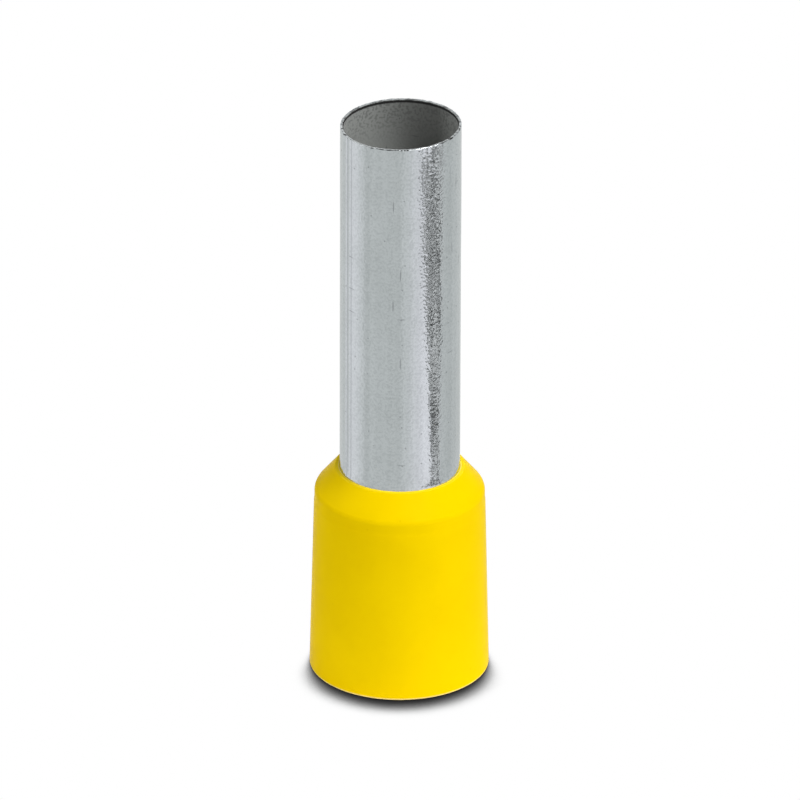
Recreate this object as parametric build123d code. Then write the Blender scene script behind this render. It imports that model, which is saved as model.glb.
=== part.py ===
from build123d import *
import math
import os

# Insulated wire ferrule, in millimetres, standing on its open collar.
# The origin is the centre of the collar's open mouth, and +Z runs up the axis to the cut rim.

# Crimp sleeve: a drawn tube whose lower end is belled out inside the collar
bore_diameter = 7.3
sleeve_wall = 0.2
sleeve_projection = 24.0
rim_bevel = 0.04
bell_bend_radius = 2.5
bell_clearance = 0.06

# Insulating collar: a moulded cap, with its sizes given outwards from the sleeve
collar_length = 14.0
collar_wall = 0.5
collar_step = 1.61
land_width = 0.3
shoulder_angle = 39.9
shoulder_round = 0.55
neck_round = 0.08

# Below the shoulder a short band ends at the mould's parting line, where the drafted wall starts
band_height = 0.9
parting_step = 0.035
parting_step_height = 0.15
draft_spread = 0.275
mouth_round = 0.12
mouth_lead_in = 0.2

# A rounded or bevelled edge takes at most this share of the wall that it is on
edge_share = 0.4

# The axis of every section seen from the centre of the bell's bend, in degrees
towards_axis = 180

# Radii and heights that follow from the sizes above
overall_length = collar_length + sleeve_projection
tube_radius = bore_diameter / 2 + sleeve_wall
land_radius = tube_radius + land_width
band_radius = tube_radius + collar_step
draft_top_radius = band_radius + parting_step
mouth_radius = draft_top_radius + draft_spread
slope_out = math.sin(math.radians(shoulder_angle))
slope_down = math.cos(math.radians(shoulder_angle))
shoulder_foot = collar_length - (band_radius - land_radius) * slope_down / slope_out
parting_line = shoulder_foot - band_height

# The seat for the bell is a cone one collar wall inside the shoulder, and starts at the inside wall
seat_radius = band_radius - collar_wall
bell_mouth_radius = seat_radius - bell_clearance

# The bell's bend is tangent to the straight tube and to the seat
bend_centre_radius = tube_radius + bell_bend_radius
bend_depth = bell_bend_radius - collar_wall - slope_down * (bend_centre_radius - land_radius)
bell_top = collar_length + bend_depth / slope_out
bend_foot = bell_top - bell_bend_radius * slope_out
bend_foot_radius = bend_centre_radius - bell_bend_radius * slope_down


def seat_height(radius):
    """Height of the seat, which is also the outside of the bell's cone, at a given radius."""
    return bend_foot - (radius - bend_foot_radius) * slope_down / slope_out


def sleeve_side(cone_radius):
    """The outside of the sleeve in section: the tube, the bend and the cone out to a radius."""
    tube = Line((tube_radius, overall_length), (tube_radius, bell_top))
    centre = (bend_centre_radius, bell_top)
    bend = CenterArc(centre, bell_bend_radius, towards_axis, shoulder_angle)
    cone = Line(bend @ 1, (cone_radius, seat_height(cone_radius)))
    return [tube, bend, cone]


def crimp_sleeve():
    """One drawn tube: the side line given its wall, with both edges of the cut rim broken."""
    side = Wire(sleeve_side(bell_mouth_radius))
    section = make_face(offset(side, sleeve_wall, side=Side.RIGHT))
    rim = section.vertices().group_by(Axis.Y)[-1]
    section = chamfer(rim, min(rim_bevel, sleeve_wall * edge_share))
    return revolve(Plane.XZ * section, Axis.Z)


def collar_outside():
    """The collar's outer form as a solid: drafted wall, parting step, band, shoulder and land."""
    corners = [
        (0, 0),
        (mouth_radius, 0),
        (draft_top_radius, parting_line),
        (band_radius, parting_line + parting_step_height),
        (band_radius, shoulder_foot),
        (land_radius, collar_length),
        (0, collar_length),
    ]
    mouth_edge = min(mouth_round, collar_wall * edge_share)
    rounds = [mouth_edge, 0, 0, shoulder_round, neck_round]
    side = FilletPolyline(corners, radius=rounds)
    axis = Line((0, collar_length), (0, 0))
    section = make_face([*side.edges(), axis])
    return revolve(Plane.XZ * section, Axis.Z)


def collar_hollow():
    """What the mould's core leaves open: the drafted inside, the bell's seat and the sleeve's way."""
    lead_in = min(mouth_lead_in, collar_wall * edge_share)
    inside = Polyline(
        (0, 0),
        (mouth_radius - collar_wall + lead_in, 0),
        (mouth_radius - collar_wall, lead_in),
        (seat_radius, seat_height(seat_radius)),
    )
    top = Line((tube_radius, overall_length), (0, overall_length))
    axis = Line((0, overall_length), (0, 0))
    section = make_face([*inside.edges(), *sleeve_side(seat_radius), top, axis])
    return revolve(Plane.XZ * section, Axis.Z)


def insulating_collar():
    """One moulded cap, pressed over the sleeve until its seat lies on the bell."""
    return collar_outside() - collar_hollow()


def build_all():
    os.makedirs("parts", exist_ok=True)
    export_step(crimp_sleeve(), "parts/crimp_sleeve.step")
    export_step(insulating_collar(), "parts/insulating_collar.step")


build_all()
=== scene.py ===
import math

import bmesh
import bpy
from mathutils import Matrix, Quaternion, Vector, noise


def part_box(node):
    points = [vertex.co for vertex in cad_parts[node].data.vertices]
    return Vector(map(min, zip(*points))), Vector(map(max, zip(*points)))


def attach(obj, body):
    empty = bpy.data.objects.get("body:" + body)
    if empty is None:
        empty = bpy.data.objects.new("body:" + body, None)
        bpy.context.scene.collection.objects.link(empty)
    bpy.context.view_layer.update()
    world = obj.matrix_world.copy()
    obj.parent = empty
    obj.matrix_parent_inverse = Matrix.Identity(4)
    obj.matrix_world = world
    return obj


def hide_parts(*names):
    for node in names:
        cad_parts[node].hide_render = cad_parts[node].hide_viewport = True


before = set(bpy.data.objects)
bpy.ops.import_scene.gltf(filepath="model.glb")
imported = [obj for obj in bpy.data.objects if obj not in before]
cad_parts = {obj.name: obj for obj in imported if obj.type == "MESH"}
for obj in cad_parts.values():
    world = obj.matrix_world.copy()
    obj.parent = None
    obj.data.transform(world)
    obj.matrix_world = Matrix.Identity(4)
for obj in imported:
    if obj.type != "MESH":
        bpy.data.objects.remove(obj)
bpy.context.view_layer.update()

# Sizes of the ferrule are in millimetres here, and the frame is in metres.
# Bearings are in degrees about the axis: 0 faces the camera, and 90 is to the right.
MM = 0.001
_, sleeve_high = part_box("crimp_sleeve")
_, collar_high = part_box("insulating_collar")

# Crimp sleeve: its height and the bell's reach come from the frame, the rest from the drawn tube
rim_height = sleeve_high.z / MM
bell_radius = sleeve_high.x / MM
bore_radius = 3.65
sleeve_wall = 0.2
tube_radius = bore_radius + sleeve_wall
bell_bend_radius = 2.5
rim_edge = 0.045

# The shear leaves the cut rim a little off square, with its outer edge lifted at the back
rim_tilt = 0.072
rim_high_bearing = 105
rim_tilt_reach = 2.0
rim_slope = rim_tilt / tube_radius
rim_back_lip = 0.035

# It also leaves the rim ragged: broad notches, and a fine burr. Scales are in features per metre.
rim_notch = 0.030
rim_burr = 0.014
notch_scale = 3500
notch_start = Vector((7, 3, 0))
burr_scale = 11000
burr_in_notches = 0.4

# The drawing die leaves soft waves that fade in above the bell, longer along the tube than round it
wave_height = 0.010
wave_scale = 450
wave_shortening = 0.6
wave_fade = 1.5

# It also scores two lines down the tube, and beside each a thin painted shade lies in the tin's tone
score_bearings = (-64.0, -57.2)
score_height = 0.026
score_spread = 1.4
painted_shade_bearings = (-61.0, -54.2)

# Insulating collar
neck_height = collar_high.z / MM
collar_wall = 0.5
mouth_radius = 5.77
draft_top_radius = 5.495
band_radius = 5.46
seat_radius = band_radius - collar_wall
land_width = 0.3
land_radius = tube_radius + land_width
shoulder_angle = math.radians(39.9)
shoulder_round = 0.55
band_height = 0.9
parting_step_height = 0.15
mouth_round = 0.12
mouth_lead_in = 0.2
neck_round = 0.032
neck_gap = 0.012
hole_edge = 0.01

# Heights that follow: the shoulder's foot, and the parting line where the drafted wall starts
slope_out = math.sin(shoulder_angle)
slope_down = math.cos(shoulder_angle)
shoulder_foot = neck_height - (band_radius - land_radius) * slope_down / slope_out
parting_line = shoulder_foot - band_height

# A support ring lies this far from where a round ends, so that the flat beside it shades flat
support_gap = 0.05

# Points nearer than the first are welded, and points this near a cutting plane lie on it, in metres
weld_distance = 1e-7
cut_tolerance = 1e-8


def cone_height(radius, depth):
    """Height at which a cone that lies depth inside the shoulder's face has a given radius."""
    return neck_height - (depth + slope_down * (radius - land_radius)) / slope_out


def turned(corners, steps):
    """A ring-shaped solid: the section's corners joined by edges and spun once about the axis."""
    work = bmesh.new()
    verts = [work.verts.new((radius * MM, 0, height * MM)) for radius, height in corners]
    edges = [work.edges.new((a, b)) for a, b in zip(verts, verts[1:] + verts[:1])]
    bmesh.ops.spin(work, geom=verts + edges, axis=(0, 0, 1), angle=math.tau, steps=steps, use_merge=True)
    bmesh.ops.remove_doubles(work, verts=work.verts, dist=weld_distance)
    bmesh.ops.recalc_face_normals(work, faces=work.faces)
    return work


def off_axis(vert):
    """Distance of a vertex from the ferrule's axis."""
    return math.hypot(vert.co.x, vert.co.y) / MM


def bearing(vert):
    """Bearing of a vertex from the ferrule's axis."""
    return math.degrees(math.atan2(vert.co.x, -vert.co.y))


def move_out(vert, distance):
    """Moves a vertex straight away from the axis."""
    share = 1 + distance / off_axis(vert)
    vert.co.x *= share
    vert.co.y *= share


def ring(work, radius, height):
    """The edges of the circle at a corner of the section."""
    nearby = 1e-3

    def on_it(vert):
        return abs(off_axis(vert) - radius) < nearby and abs(vert.co.z / MM - height) < nearby

    return [edge for edge in work.edges if all(on_it(vert) for vert in edge.verts)]


def round_ring(work, radius, height, offset, segments):
    """Rounds the corner circle, with the round's tangent points offset along both faces."""
    edges = ring(work, radius, height)
    bmesh.ops.bevel(
        work, geom=edges, offset=offset * MM, offset_type="OFFSET", affect="EDGES",
        segments=segments, profile=0.5, material=-1, clamp_overlap=False,
    )


def cut_mesh(work, place, across):
    """Cuts the whole mesh along a plane through a place, square to a direction, and keeps both sides."""
    geometry = work.verts[:] + work.edges[:] + work.faces[:]
    bmesh.ops.bisect_plane(work, geom=geometry, dist=cut_tolerance, plane_co=place, plane_no=across)


def cut_ring(work, height):
    """Adds a ring of edges all round, at one height."""
    cut_mesh(work, (0, 0, height * MM), (0, 0, 1))


def finish_piece(work, name, sharp_degrees):
    """The bmesh as an object with smooth faces, parted only at edges sharper than the angle given."""
    for face in work.faces:
        face.smooth = True
    mesh = bpy.data.meshes.new(name)
    work.to_mesh(mesh)
    work.free()
    mesh.set_sharp_from_angle(angle=math.radians(sharp_degrees))
    piece = bpy.data.objects.new(name, mesh)
    bpy.context.scene.collection.objects.link(piece)
    return piece


def draw_tube_wall(work, lowest):
    """Gives the straight tube the soft waves and the two scored lines that drawing leaves."""
    outer_face = tube_radius - rim_edge * 1.5
    for vert in work.verts:
        height = vert.co.z / MM
        if height < lowest:
            continue
        fade = min(1.0, (height - lowest) / wave_fade)
        wave = noise.noise(Vector((vert.co.x, vert.co.y, vert.co.z * wave_shortening)) * wave_scale)
        move_out(vert, wave * wave_height * fade)
        if off_axis(vert) > outer_face:
            for score in score_bearings:
                away = (bearing(vert) - score) / score_spread
                move_out(vert, score_height * math.exp(-away * away))


def shear_rim(work):
    """Tilts the cut end, makes its rim uneven, and lifts the rim's outer edge at the back."""
    rim_foot = rim_height - rim_edge * 1.2
    wall_middle = bore_radius + sleeve_wall / 2
    for vert in work.verts:
        height = vert.co.z / MM
        near_rim = 1 - (rim_height - height) / rim_tilt_reach
        if near_rim <= 0:
            continue
        away = math.radians(bearing(vert) - rim_high_bearing)
        vert.co.z += rim_tilt * MM * near_rim * math.cos(away)
        if height > rim_foot:
            level = noise.noise(vert.co * notch_scale + notch_start)
            burr = noise.noise(vert.co * burr_scale)
            vert.co.z += rim_notch * MM * (level + burr_in_notches * burr)
            if off_axis(vert) > wall_middle:
                at_back = max(0.0, -math.cos(math.radians(bearing(vert))))
                vert.co.z += rim_back_lip * MM * at_back
            move_out(vert, rim_burr * burr)


def make_sleeve():
    """The drawn tube with its bell: a turned section, bent, cut and then made uneven."""
    bend = bell_bend_radius * math.tan(shoulder_angle / 2)
    inner_bend = (bell_bend_radius + sleeve_wall) * math.tan(shoulder_angle / 2)
    inner_depth = collar_wall + sleeve_wall
    lip_radius = bell_radius - sleeve_wall * slope_down
    outer_corner = (tube_radius, cone_height(tube_radius, collar_wall))
    inner_corner = (bore_radius, cone_height(bore_radius, inner_depth))
    work = turned([
        (tube_radius, rim_height),
        outer_corner,
        (bell_radius, cone_height(bell_radius, collar_wall)),
        (lip_radius, cone_height(lip_radius, inner_depth)),
        inner_corner,
        (bore_radius, rim_height),
    ], steps=512)
    round_ring(work, *outer_corner, bend, segments=12)
    round_ring(work, *inner_corner, inner_bend, segments=12)
    round_ring(work, tube_radius, rim_height, rim_edge, segments=3)
    round_ring(work, bore_radius, rim_height, rim_edge, segments=3)
    bell_top = outer_corner[1] + bend
    cut_ring(work, rim_height - rim_edge - support_gap)
    rings = 16
    for step in range(rings):
        cut_ring(work, bell_top + support_gap + (rim_height - bell_top) * step / rings)
    draw_tube_wall(work, bell_top + support_gap)
    shear_rim(work)
    return finish_piece(work, "crimp_sleeve_tin", sharp_degrees=50)


def make_collar():
    """The moulded cap: a turned section with its rounds, and support rings beside them."""
    hole_radius = tube_radius + neck_gap
    hole_corner = (hole_radius, cone_height(hole_radius, collar_wall))
    work = turned([
        (mouth_radius - collar_wall + mouth_lead_in, 0),
        (mouth_radius, 0),
        (draft_top_radius, parting_line),
        (band_radius, parting_line + parting_step_height),
        (band_radius, shoulder_foot),
        (land_radius, neck_height),
        (hole_radius + hole_edge, neck_height),
        hole_corner,
        (seat_radius, cone_height(seat_radius, collar_wall)),
        (mouth_radius - collar_wall, mouth_lead_in),
    ], steps=256)
    shoulder_offset = shoulder_round * math.tan(shoulder_angle / 2)
    round_ring(work, mouth_radius, 0, mouth_round, segments=6)
    round_ring(work, band_radius, shoulder_foot, shoulder_offset, segments=10)
    round_ring(work, land_radius, neck_height, neck_round, segments=4)
    cut_ring(work, mouth_round + support_gap)
    cut_ring(work, parting_line - support_gap)
    cut_ring(work, parting_line + parting_step_height + support_gap)
    cut_ring(work, shoulder_foot - shoulder_offset - support_gap)
    cut_ring(work, shoulder_foot + shoulder_offset * slope_down + support_gap)
    cut_ring(work, neck_height - neck_round - support_gap)
    return finish_piece(work, "insulating_collar_moulded", sharp_degrees=40)


sleeve = make_sleeve()
collar = make_collar()
for piece, node, slot in (
    (sleeve, "crimp_sleeve", "tin_plated_copper"),
    (collar, "insulating_collar", "yellow_plastic"),
):
    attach(piece, "root")
    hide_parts(node)


class Shader:
    """A material's, a group's or a world's node tree, with short calls to add nodes and join them."""

    def __init__(self, tree):
        self.tree = tree

    def feed(self, socket, value):
        """Joins another node's output to a socket, or sets a plain value on it."""
        if isinstance(value, bpy.types.NodeSocket):
            self.tree.links.new(value, socket)
        else:
            socket.default_value = value

    def add(self, kind, inputs=None, **settings):
        """A new node with its settings made and its inputs fed."""
        made = self.tree.nodes.new(kind)
        for key, value in settings.items():
            setattr(made, key, value)
        for key, value in (inputs or {}).items():
            self.feed(made.inputs[key], value)
        return made

    def group(self, tree, inputs):
        """The outputs of a node group placed with its own values."""
        return self.add("ShaderNodeGroup", inputs, node_tree=tree).outputs

    def where(self):
        """The point that is shaded, in the object's own coordinates, in metres."""
        return self.add("ShaderNodeTexCoord").outputs["Object"]

    def parts(self, vector):
        """The X, Y and Z of a vector."""
        return self.add("ShaderNodeSeparateXYZ", {0: vector}).outputs

    def math(self, operation, first, second=0.0):
        return self.add("ShaderNodeMath", {0: first, 1: second}, operation=operation).outputs[0]

    def plus(self, first, second):
        return self.math("ADD", first, second)

    def minus(self, first, second):
        return self.math("SUBTRACT", first, second)

    def times(self, first, second):
        return self.math("MULTIPLY", first, second)

    def larger(self, first, second):
        return self.math("MAXIMUM", first, second)

    def between(self, factor, low, high):
        """A number that goes evenly from low to high as the factor goes from 0 to 1."""
        return self.plus(self.times(factor, high - low), low)

    def vector(self, x, y, z=0.0):
        return self.add("ShaderNodeCombineXYZ", {"X": x, "Y": y, "Z": z}).outputs[0]

    def scaled(self, vector, factors):
        made = self.add("ShaderNodeVectorMath", {0: vector, 1: factors}, operation="MULTIPLY")
        return made.outputs[0]

    def length(self, vector):
        return self.add("ShaderNodeVectorMath", {0: vector}, operation="LENGTH").outputs["Value"]

    def off_axis(self, where):
        """Distance of a point from the ferrule's axis, in metres."""
        return self.length(self.scaled(where, (1.0, 1.0, 0.0)))

    def bearing(self, parts):
        """Bearing of a point, in radians."""
        return self.math("ARCTAN2", parts["X"], self.times(parts["Y"], -1.0))

    def unrolled(self, parts, radius):
        """A round wall laid flat: distance along its girth from the front, and height."""
        girth = self.times(self.bearing(parts), radius * MM)
        return self.vector(girth, parts["Z"])

    def clouds(self, vector, scale, detail):
        """Noise about 0.5, with its scale in features per unit of the vector."""
        made = self.add("ShaderNodeTexNoise", {"Vector": vector, "Scale": scale, "Detail": detail})
        return made.outputs["Fac"]

    def smooth_step(self, value, start, end):
        """From 0 at the start to 1 at the end, also where the end is the lower of the two."""
        made = self.add("ShaderNodeMapRange", {
            "Value": value, "From Min": start, "From Max": end,
        }, interpolation_type="SMOOTHSTEP")
        return made.outputs["Result"]

    def step_mm(self, value, start, end):
        """A smooth step of a value in metres, between a start and an end in millimetres."""
        return self.smooth_step(value, start * MM, end * MM)

    def ramp(self, factor, stops):
        """Colours or grey levels along a factor, with straight changes between the stops."""
        made = self.add("ShaderNodeValToRGB", {"Fac": factor})
        line = made.color_ramp
        while len(line.elements) < len(stops):
            line.elements.new(0.5)
        for element, (place, value) in zip(line.elements, stops):
            element.position = place
            element.color = (*value, 1) if isinstance(value, tuple) else (value, value, value, 1)
        return made.outputs["Color"]

    def mix(self, factor, first, second):
        """The first colour where the factor is 0, and the second where it is 1."""
        made = self.add("ShaderNodeMix", data_type="RGBA")
        first_socket, second_socket = [socket for socket in made.inputs if socket.type == "RGBA"]
        self.feed(made.inputs[0], factor)
        self.feed(first_socket, first)
        self.feed(second_socket, second)
        return next(socket for socket in made.outputs if socket.type == "RGBA")

    def tinge(self, tone, mask, share, colour):
        """Mixes a share of another colour into a tone, where a mask is 1."""
        return self.mix(self.times(mask, share), tone, colour)

    def bump(self, height, depth, normal=None):
        """The normal of a surface raised by a height map to a depth in millimetres."""
        inputs = {"Strength": 1.0, "Distance": depth * MM, "Height": height}
        if normal is not None:
            inputs["Normal"] = normal
        return self.add("ShaderNodeBump", inputs).outputs["Normal"]


def new_material(name):
    """An empty material, and the calls that fill it."""
    material = bpy.data.materials.new(name)
    material.use_nodes = True
    material.node_tree.nodes.clear()
    return material, Shader(material.node_tree)


def new_group(name, inputs, outputs):
    """An empty shader node group. Its sockets are numbers, apart from the input named Vector."""
    tree = bpy.data.node_groups.new(name, "ShaderNodeTree")
    for label in inputs:
        kind = "NodeSocketVector" if label == "Vector" else "NodeSocketFloat"
        tree.interface.new_socket(label, in_out="INPUT", socket_type=kind)
    for label in outputs:
        tree.interface.new_socket(label, in_out="OUTPUT", socket_type="NodeSocketFloat")
    shader = Shader(tree)
    given = shader.add("NodeGroupInput").outputs
    result = shader.add("NodeGroupOutput").inputs
    return tree, shader, given, result


def surface_grain_group():
    """Fine grain about zero, and slow mottling from 0 to 1. Scales are in features per metre."""
    tree, shader, given, result = new_group(
        "surface_grain", ["Vector", "Grain Scale", "Mottle Scale"], ["Grain", "Mottle"],
    )
    fine = shader.clouds(given["Vector"], given["Grain Scale"], 0.0)
    slow = shader.clouds(given["Vector"], given["Mottle Scale"], 3.0)
    shader.feed(result["Grain"], shader.minus(fine, 0.5))
    shader.feed(result["Mottle"], shader.smooth_step(slow, 0.3, 0.7))
    return tree


def handling_marks_group():
    """Scattered small marks on a wall laid flat: a mask that is 1 in the middle of each mark.

    Scale is in cells per metre, Share is how many of the cells have a mark, and Radius is in cells.
    """
    tree, shader, given, result = new_group(
        "handling_marks", ["Vector", "Scale", "Share", "Radius"], ["Mask"],
    )
    cells = shader.add("ShaderNodeTexVoronoi", {
        "Vector": given["Vector"], "Scale": given["Scale"],
    }, voronoi_dimensions="2D").outputs
    inside = shader.math("DIVIDE", cells["Distance"], given["Radius"])
    shape = shader.smooth_step(inside, 1.0, 0.5)
    chosen = shader.math("LESS_THAN", shader.parts(cells["Color"])["X"], given["Share"])
    shader.feed(result["Mask"], shader.times(shape, chosen))
    return tree


surface_grain = surface_grain_group()
handling_marks = handling_marks_group()


def scattered(shader, wall, scale, share, radius):
    """Mask of the marks scattered over a wall that is laid flat."""
    inputs = {"Vector": wall, "Scale": scale, "Share": share, "Radius": radius}
    return shader.group(handling_marks, inputs)["Mask"]


def tin_marks(shader, parts, mottle):
    """Mask of the pits where the tin is mottled, the nicks across the tube and the scuffs along it."""
    stretch = 9.0
    strength = 0.7
    wall = shader.unrolled(parts, tube_radius)
    across = shader.scaled(wall, (1.0, stretch, 0.0))
    along = shader.scaled(wall, (stretch, 1.0, 0.0))
    pits = scattered(shader, wall, scale=900.0, share=shader.times(mottle, 0.5), radius=0.065)
    nicks = scattered(shader, across, scale=270.0, share=0.03, radius=0.10)
    scuffs = scattered(shader, along, scale=230.0, share=0.06, radius=0.12)
    return shader.times(shader.larger(shader.larger(nicks, scuffs), pits), strength)


def torn_metal_and_painted_rim_shade(shader, where, below_rim, at_top, at_back):
    """Mask of the dark rim: torn spots of cut metal, and painted shade along its inner edge and its
    outer back edge.
    """
    edge_width = 0.045
    edge_blur = 0.020
    narrower_at_back = 0.025
    radius = shader.off_axis(where)
    torn = shader.smooth_step(shader.clouds(where, 2600.0, 2.0), 0.53, 0.62)
    torn = shader.times(torn, shader.between(at_back, 1.0, 0.5))
    # The dark outer back edge and the dark inner edge below are painted shade, not cut metal.
    outer_start = tube_radius - edge_width
    outer_edge = shader.step_mm(radius, outer_start, outer_start + edge_blur)
    outer_edge = shader.times(outer_edge, shader.times(at_back, 0.2))
    on_rim = shader.times(shader.larger(outer_edge, torn), at_top)
    inner_start = bore_radius + edge_width
    shifted = shader.plus(radius, shader.times(at_back, narrower_at_back * MM))
    inner_edge = shader.step_mm(shifted, inner_start, inner_start - edge_blur)
    near_top = shader.step_mm(below_rim, rim_height - 0.20, rim_height - 0.13)
    return shader.larger(on_rim, shader.times(inner_edge, near_top))


def painted_score_shade(shader, parts):
    """Mask of the thin painted shade beside each scored line."""
    turn = shader.math("DEGREES", shader.bearing(parts))
    shaded = 0.0
    for place in painted_shade_bearings:
        away = shader.math("ABSOLUTE", shader.minus(turn, place))
        shaded = shader.larger(shaded, shader.smooth_step(away, 1.3, 0.3))
    return shaded


def bore_tone_with_painted_shade(shader, parts, dark_grains):
    """Tin inside the bore: painted light on the left, painted shade on the right, and speckled near the
    rim.
    """
    # The left tone is painted light and the right tone is painted shade: the bore's tin has no such
    # sides.
    painted_light_left = (0.52, 0.533, 0.52, 1)
    darker = (0.345, 0.354, 0.342, 1)
    speck = (0.22, 0.226, 0.22, 1)
    to_right = shader.step_mm(parts["X"], -2.4, 1.6)
    to_right = shader.minus(to_right, shader.step_mm(parts["X"], 2.2, 3.3))
    near_rim = shader.step_mm(parts["Z"], rim_height - 3.4, rim_height - 0.6)
    speckled = shader.times(dark_grains, shader.times(near_rim, 0.4))
    return shader.mix(speckled, shader.mix(to_right, painted_light_left, darker), speck)


def tube_tone(shader, parts, mottle, dark_grains, drawn):
    """Tin on the outside of the tube: mottled, with faint drawn streaks and a painted shade beside each
    score.
    """
    dull = (0.570, 0.602, 0.612, 1)
    bright = (0.605, 0.637, 0.650, 1)
    streak = (0.50, 0.535, 0.545, 1)
    grain_shade = (0.30, 0.32, 0.33, 1)
    # Painted shade: the dark line beside each score stands in for a dark reflection.
    painted_score_shade_tone = (0.36, 0.38, 0.39, 1)
    tone = shader.mix(mottle, dull, bright)
    tone = shader.tinge(tone, shader.smooth_step(drawn, 0.5, 0.8), 0.12, streak)
    tone = shader.tinge(tone, dark_grains, 0.16, grain_shade)
    return shader.tinge(tone, painted_score_shade(shader, parts), 0.6, painted_score_shade_tone)


def tin_plating():
    """Satin tin on drawn copper: fine grain that coarsens towards the cut end, marks, and a torn rim
    with painted shade along its edges.
    """
    material, shader = new_material("satin_tin_plating")
    where = shader.where()
    parts = shader.parts(where)
    outside = shader.step_mm(shader.off_axis(where), bore_radius + 0.03, bore_radius + 0.08)
    at_back = shader.step_mm(parts["Y"], 0.0, 1.5)
    below_rim = shader.minus(parts["Z"], shader.times(parts["X"], rim_slope))
    at_top = shader.step_mm(below_rim, rim_height - 0.10, rim_height - 0.06)

    grain = shader.group(surface_grain, {"Vector": where, "Grain Scale": 6000.0, "Mottle Scale": 420.0})
    dark_grains = shader.smooth_step(grain["Grain"], 0.02, -0.14)
    drawn = shader.clouds(shader.scaled(where, (1.0, 1.0, 0.025)), 5200.0, 2.0)
    marks = tin_marks(shader, parts, grain["Mottle"])
    torn = torn_metal_and_painted_rim_shade(shader, where, below_rim, at_top, at_back)

    mark_bottom = (0.22, 0.23, 0.24, 1)
    # Dark of the torn cut metal, and also the painted shade along the rim's edges
    cut_copper_and_painted_rim_shade = (0.07, 0.07, 0.07, 1)
    on_tube = tube_tone(shader, parts, grain["Mottle"], dark_grains, drawn)
    tone = shader.mix(outside, bore_tone_with_painted_shade(shader, parts, dark_grains), on_tube)
    tone = shader.tinge(tone, marks, 0.75, mark_bottom)
    tone = shader.mix(torn, tone, cut_copper_and_painted_rim_shade)

    smoother_outside = 0.855
    rougher_in_marks = 0.2
    rougher_on_rim = 0.5
    in_bore = shader.between(grain["Mottle"], 0.96, 0.99)
    roughness = shader.minus(in_bore, shader.times(outside, smoother_outside))
    roughness = shader.plus(roughness, shader.times(marks, rougher_in_marks))
    back_of_rim = shader.times(shader.times(at_top, at_back), outside)
    roughness = shader.plus(roughness, shader.times(back_of_rim, rougher_on_rim))

    grain_depth = 0.0145
    streak_depth = 0.001
    mark_depth = 0.006
    towards_rim = shader.step_mm(parts["Z"], neck_height, rim_height)
    strength = shader.times(shader.between(towards_rim, 0.7, 1.0), shader.between(outside, 0.5, 1.0))
    normal = shader.bump(shader.times(grain["Grain"], strength), grain_depth)
    normal = shader.bump(drawn, streak_depth, normal)
    normal = shader.bump(shader.times(marks, -1.0), mark_depth, normal)
    metal = shader.add("ShaderNodeBsdfPrincipled", {
        "Base Color": tone, "Metallic": 1.0, "Roughness": roughness, "Normal": normal,
    })
    shader.add("ShaderNodeOutputMaterial", {"Surface": metal.outputs[0]})
    return material


def yellow_plastic():
    """Moulded plastic with slow tone changes, a few small specks, and painted highlights on the land and
    along the mouth's and the hole's edges.
    """
    material, shader = new_material("yellow_moulded_plastic")
    where = shader.where()
    parts = shader.parts(where)
    wall = shader.unrolled(parts, band_radius)
    grain = shader.group(surface_grain, {"Vector": where, "Grain Scale": 1900.0, "Mottle Scale": 260.0})
    specks = scattered(shader, wall, scale=420.0, share=0.12, radius=0.035)
    at_mouth = shader.step_mm(parts["Z"], 0.16, 0.07)
    on_land = shader.step_mm(parts["Z"], neck_height - 0.05, neck_height - 0.01)
    at_hole = shader.step_mm(shader.off_axis(where), tube_radius + 0.12, tube_radius + 0.05)
    # Painted highlight: a pale line along the mouth's edge and along the hole's edge on the land.
    painted_edge_highlight = shader.larger(at_mouth, shader.times(on_land, at_hole))

    deep = (0.90, 0.622, 0.0, 1)
    light = (0.925, 0.646, 0.0, 1)
    speck = (0.75, 0.48, 0.0, 1)
    painted_land_highlight = (1.0, 0.78, 0.03, 1)
    # The pale colour is a painted highlight's colour.
    pale = (0.95, 0.82, 0.42, 1)
    tone = shader.mix(grain["Mottle"], deep, light)
    tone = shader.tinge(tone, specks, 0.25, speck)
    # Painted light: the land's tone is brightened against the shade it gets beside the tube.
    tone = shader.tinge(tone, on_land, 0.4, painted_land_highlight)
    tone = shader.tinge(tone, painted_edge_highlight, 0.6, pale)
    roughness = shader.between(grain["Mottle"], 0.22, 0.26)
    normal = shader.bump(grain["Grain"], 0.004)
    plastic = shader.add("ShaderNodeBsdfPrincipled", {
        "Base Color": tone, "Roughness": roughness, "Specular IOR Level": 0.005, "Normal": normal,
    })
    shader.add("ShaderNodeOutputMaterial", {"Surface": plastic.outputs[0]})
    return material


sleeve.data.materials.append(tin_plating())
collar.data.materials.append(yellow_plastic())

# The floor, the dark card, the lamps and the camera have their sizes and places in metres


def contact_shade(shader, where):
    """Shade on the floor close in front of the ferrule, from how much of the sky it hides there.

    The normal leans back, towards the ferrule, and at the front left and right it also leans inwards.
    """
    lean = math.radians(31)
    inward_share = 0.5
    reach = 0.006
    outward = shader.add("ShaderNodeVectorMath", {0: where}, operation="NORMALIZE").outputs["Vector"]
    outward = shader.parts(outward)
    front = shader.larger(shader.times(outward["Y"], -1.0), 0.0)
    sideways = shader.math("POWER", shader.math("ABSOLUTE", outward["X"]), 3.0)
    sideways = shader.times(sideways, shader.math("SIGN", outward["X"]))
    sideways = shader.times(shader.times(sideways, front), -inward_share * math.sin(lean))
    normal = shader.vector(sideways, math.sin(lean), math.cos(lean))
    open_sky = shader.add("ShaderNodeAmbientOcclusion", {
        "Distance": reach, "Normal": normal,
    }, samples=64).outputs["AO"]
    return shader.ramp(open_sky, [
        (0.39, 0.02), (0.452, 0.05), (0.505, 0.12), (0.562, 0.37),
        (0.612, 0.78), (0.652, 0.97), (0.685, 1.0),
    ])


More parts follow.
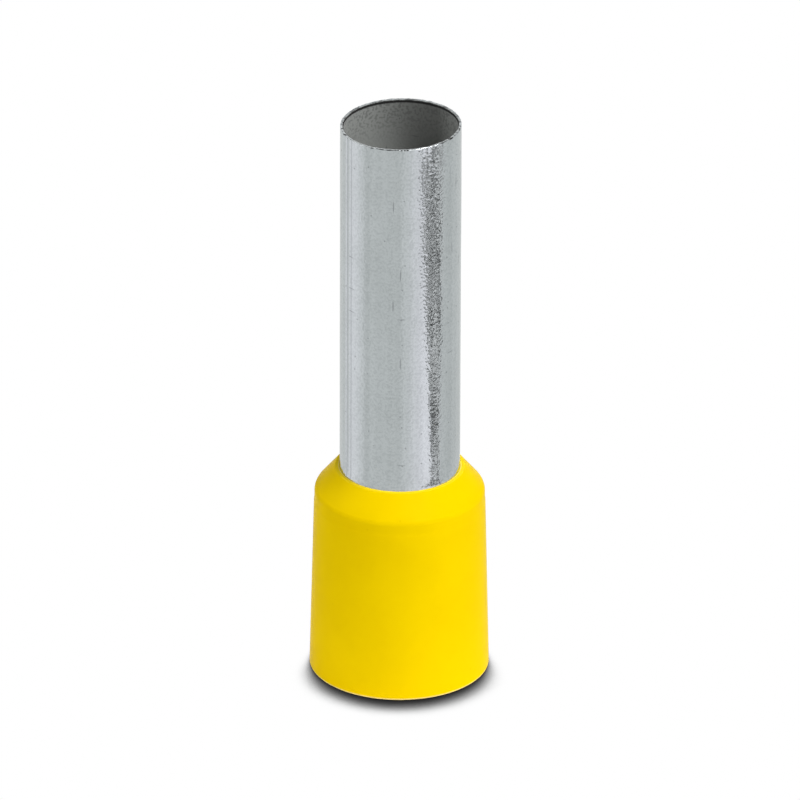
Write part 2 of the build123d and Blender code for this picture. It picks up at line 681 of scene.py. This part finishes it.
def white_floor(name, contact):
    """White to the camera, matt to the light, clear from below, and shaded if it is at the contact.

    The matt side has a faint pool of light round the ferrule, which lights the collar from below.
    """
    material, shader = new_material(name)
    where = shader.where()
    seen_shade = contact_shade(shader, where) if contact else (1, 1, 1, 1)
    seen = shader.add("ShaderNodeEmission", {"Color": seen_shade, "Strength": 1.0})

    pool_strength = 0.34
    matt = shader.add("ShaderNodeBsdfDiffuse", {"Color": (0.78, 0.78, 0.78, 1)})
    pool = shader.times(shader.smooth_step(shader.length(where), 0.026, 0.012), pool_strength)
    glow = shader.add("ShaderNodeEmission", {"Color": (1, 1, 1, 1), "Strength": pool})
    lit = shader.add("ShaderNodeAddShader", {0: matt.outputs[0], 1: glow.outputs[0]})

    path = shader.add("ShaderNodeLightPath").outputs
    looked_at = shader.larger(path["Is Camera Ray"], path["Is Transmission Ray"])
    top_side = shader.add("ShaderNodeMixShader", {
        0: looked_at, 1: lit.outputs[0], 2: seen.outputs[0],
    })
    clear = shader.add("ShaderNodeBsdfTransparent")
    below = shader.add("ShaderNodeNewGeometry").outputs["Backfacing"]
    both_sides = shader.add("ShaderNodeMixShader", {
        0: below, 1: top_side.outputs[0], 2: clear.outputs[0],
    })
    shader.add("ShaderNodeOutputMaterial", {"Surface": both_sides.outputs[0]})
    return material


def make_floor():
    """A plain pale floor, cut so that only a patch round the ferrule takes its contact shade."""
    half_width = 0.6
    half_patch = 0.012
    work = bmesh.new()
    bmesh.ops.create_grid(work, x_segments=1, y_segments=1, size=half_width)
    for side in (half_patch, -half_patch):
        cut_mesh(work, (side, 0, 0), (1, 0, 0))
    for side in (half_patch, -half_patch):
        cut_mesh(work, (0, side, 0), (0, 1, 0))
    for face in work.faces:
        face.material_index = int(face.calc_center_median().length < half_patch)
    floor = finish_piece(work, "floor", sharp_degrees=30)
    floor.data.materials.append(white_floor("white_floor", contact=False))
    floor.data.materials.append(white_floor("white_floor_at_contact", contact=True))
    floor.visible_glossy = False


def dark_card():
    """Dark card with light patches that fan out from the ferrule, and plain grey close to it."""
    material, shader = new_material("dark_card")
    where = shader.where()
    radius = shader.length(where)
    reach = shader.times(shader.math("LOGARITHM", radius, math.e), 0.4)
    fanned = shader.vector(shader.bearing(shader.parts(where)), reach)
    speckle = shader.ramp(shader.clouds(fanned, 16.0, 1.0), [(0.475, 0.0), (0.575, 1.15)])
    shade = shader.mix(shader.smooth_step(radius, 0.010, 0.045), (0.38, 0.38, 0.38, 1), speckle)
    dark = shader.add("ShaderNodeEmission", {"Color": shade, "Strength": 1.0})
    shader.add("ShaderNodeOutputMaterial", {"Surface": dark.outputs[0]})
    return material


def make_flag():
    """A dark card lying on the floor to the front right, which only the metal's reflections see."""
    above_floor = 0.0002
    outline = (
        (0.0285, -0.0065), (0.0420, -0.0083), (0.110, -0.0090), (0.0545, -0.084), (0.0500, -0.062),
        (0.0481, -0.0463), (0.0434, -0.0340), (0.0364, -0.0236), (0.0275, -0.0178),
    )
    work = bmesh.new()
    work.faces.new([work.verts.new((x, y, above_floor)) for x, y in outline])
    flag = finish_piece(work, "dark_flag", sharp_degrees=30)
    flag.data.materials.append(dark_card())
    flag.visible_camera = False
    flag.visible_diffuse = False
    flag.visible_shadow = False


def table_light(level):
    """A grey level as a colour, slightly greener where the table is darker."""
    share = max(0.0, (level - 0.7) / 0.36)
    red = level * (1.025 - 0.015 * share)
    green = level * (1.05 - 0.055 * share)
    blue = level * (1.04 - 0.005 * share)
    return (red, green, blue)


def light_by_bearing(shader, parts, stops):
    """Colours or grey levels round the horizon, each with its bearing."""
    turn = shader.math("DIVIDE", shader.bearing(parts), math.tau)
    shares = [(degrees / 360 + 0.5, light) for degrees, light in stops]
    return shader.ramp(shader.plus(turn, 0.5), shares)


def make_world():
    """Soft studio surroundings: white to the camera, pale round the table, and darker overhead.

    Each stop of the table and of the room is a bearing and a grey level.
    """
    table_levels = (
        (-180, 0.70), (-132, 0.72), (-106, 0.97), (-93, 0.93), (-79, 0.80), (-66, 0.71), (-4, 0.71),
        (12, 0.78), (40, 1.05), (60, 1.07), (90, 0.69), (160, 0.68), (180, 0.70),
    )
    room_levels = (
        (-180, 0.90), (-120, 0.70), (-90, 0.40), (-55, 0.10), (-10, 0.15), (35, 0.70), (70, 0.60),
        (110, 0.35), (180, 0.90),
    )
    world = bpy.data.worlds.new("studio")
    world.use_nodes = True
    world.node_tree.nodes.clear()
    shader = Shader(world.node_tree)
    where = shader.add("ShaderNodeTexCoord").outputs["Generated"]
    parts = shader.parts(where)

    table_stops = [(degrees, table_light(level)) for degrees, level in table_levels]
    uneven = shader.ramp(shader.clouds(where, 9.0, 1.0), [(0.35, 0.91), (0.65, 1.09)])
    table = shader.scaled(light_by_bearing(shader, parts, table_stops), uneven)
    room = light_by_bearing(shader, parts, room_levels)
    to_right = shader.plus(shader.times(parts["X"], 0.5), 0.5)
    ceiling = shader.ramp(to_right, [(0.25, 0.05), (0.75, 0.27)])
    upper = shader.mix(shader.smooth_step(parts["Z"], 0.45, 0.75), room, ceiling)
    around = shader.mix(shader.smooth_step(parts["Z"], 0.0, 0.12), table, upper)

    lit = shader.add("ShaderNodeBackground", {"Color": around, "Strength": 1.0})
    white = shader.add("ShaderNodeBackground", {"Color": (1, 1, 1, 1), "Strength": 1.0})
    path = shader.add("ShaderNodeLightPath").outputs
    both = shader.add("ShaderNodeMixShader", {
        0: path["Is Camera Ray"], 1: lit.outputs[0], 2: white.outputs[0],
    })
    shader.add("ShaderNodeOutputWorld", {"Surface": both.outputs[0]})
    bpy.context.scene.world = world


def make_softbox(name, place, size, power):
    """A square lamp turned to the middle of the ferrule, with its place and size in metres."""
    middle = Vector((0, 0, 0.019))
    data = bpy.data.lights.new(name, "AREA")
    data.shape = "SQUARE"
    data.size = size
    data.energy = power
    lamp = bpy.data.objects.new(name, data)
    lamp.location = place
    lamp.rotation_mode = "QUATERNION"
    lamp.rotation_quaternion = (middle - Vector(place)).to_track_quat("-Z", "Y")
    bpy.context.scene.collection.objects.link(lamp)


def make_camera():
    """The photograph's viewpoint: 26 degrees above the table and a metre away, with a slight lean."""
    elevation = math.radians(26.0)
    lean = math.radians(0.185)
    distance = 1.031
    aim = Vector((0, 0, 18.59 * MM))
    back = Vector((0, -math.cos(elevation), math.sin(elevation)))
    data = bpy.data.cameras.new("camera")
    data.sensor_width = 36
    data.lens = 726.8
    camera = bpy.data.objects.new("camera", data)
    camera.rotation_mode = "QUATERNION"
    camera.rotation_quaternion = (-back).to_track_quat("-Z", "Y") @ Quaternion((0, 0, 1), lean)
    camera.location = aim + back * distance
    bpy.context.scene.collection.objects.link(camera)
    bpy.context.scene.camera = camera


make_floor()
make_flag()
make_world()
make_softbox("key_softbox", place=(0.16, -0.31, 0.35), size=0.25, power=0.70)
make_softbox("high_softbox", place=(0.187, -0.093, 0.41), size=0.15, power=1.08)
make_softbox("fill_softbox", place=(-0.36, 0.02, 0.32), size=0.35, power=0.57)
make_camera()
bpy.context.scene.view_settings.view_transform = "Standard"
